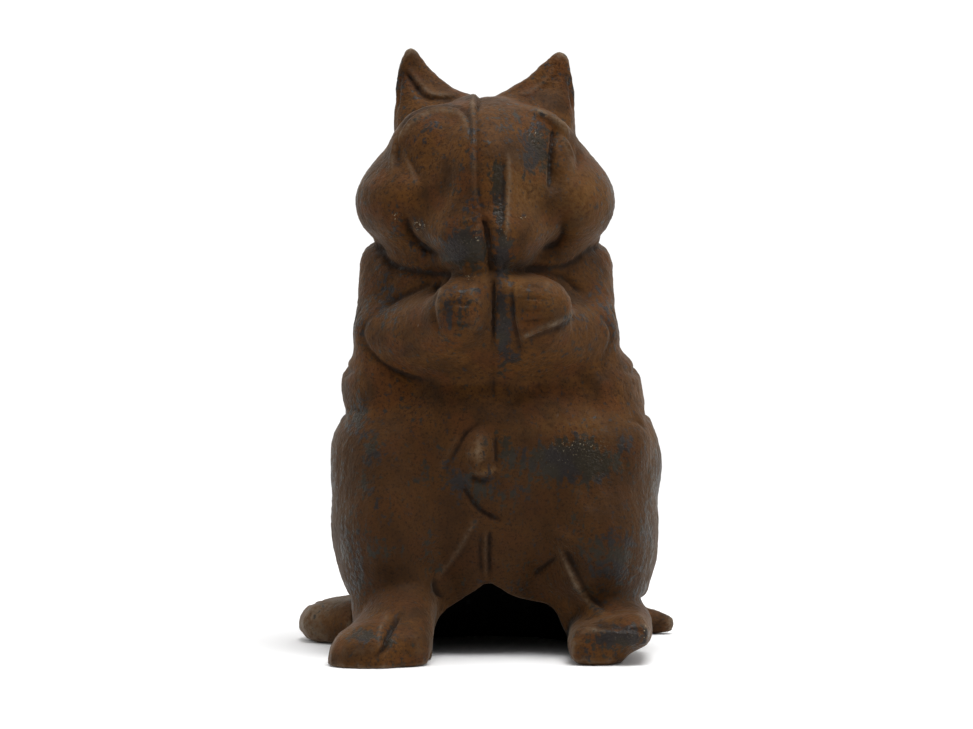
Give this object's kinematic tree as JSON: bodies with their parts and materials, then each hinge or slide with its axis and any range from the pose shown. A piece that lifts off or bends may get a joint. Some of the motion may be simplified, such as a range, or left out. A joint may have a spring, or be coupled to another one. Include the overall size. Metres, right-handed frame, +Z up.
{
  "type": "squirrel doorstop",
  "caption": "Hollow cast-iron figure of a squirrel sitting up, paws before its mouth, tail on the ground behind, heavy enough to hold a door open.",
  "frame": {"origin": "on the ground, under the middle of the figure's box", "axes": "+Z up, the squirrel's face looks along -Y, +X is to the right for someone who faces it"},
  "size_m": [0.1553, 0.158, 0.24],
  "materials": {
    "rusted_iron": "cast iron with a worn reddish-brown coat over dark metal"
  },
  "bodies": {
    "root": {"squirrel": "rusted_iron"}
  },
  "joints": []
}
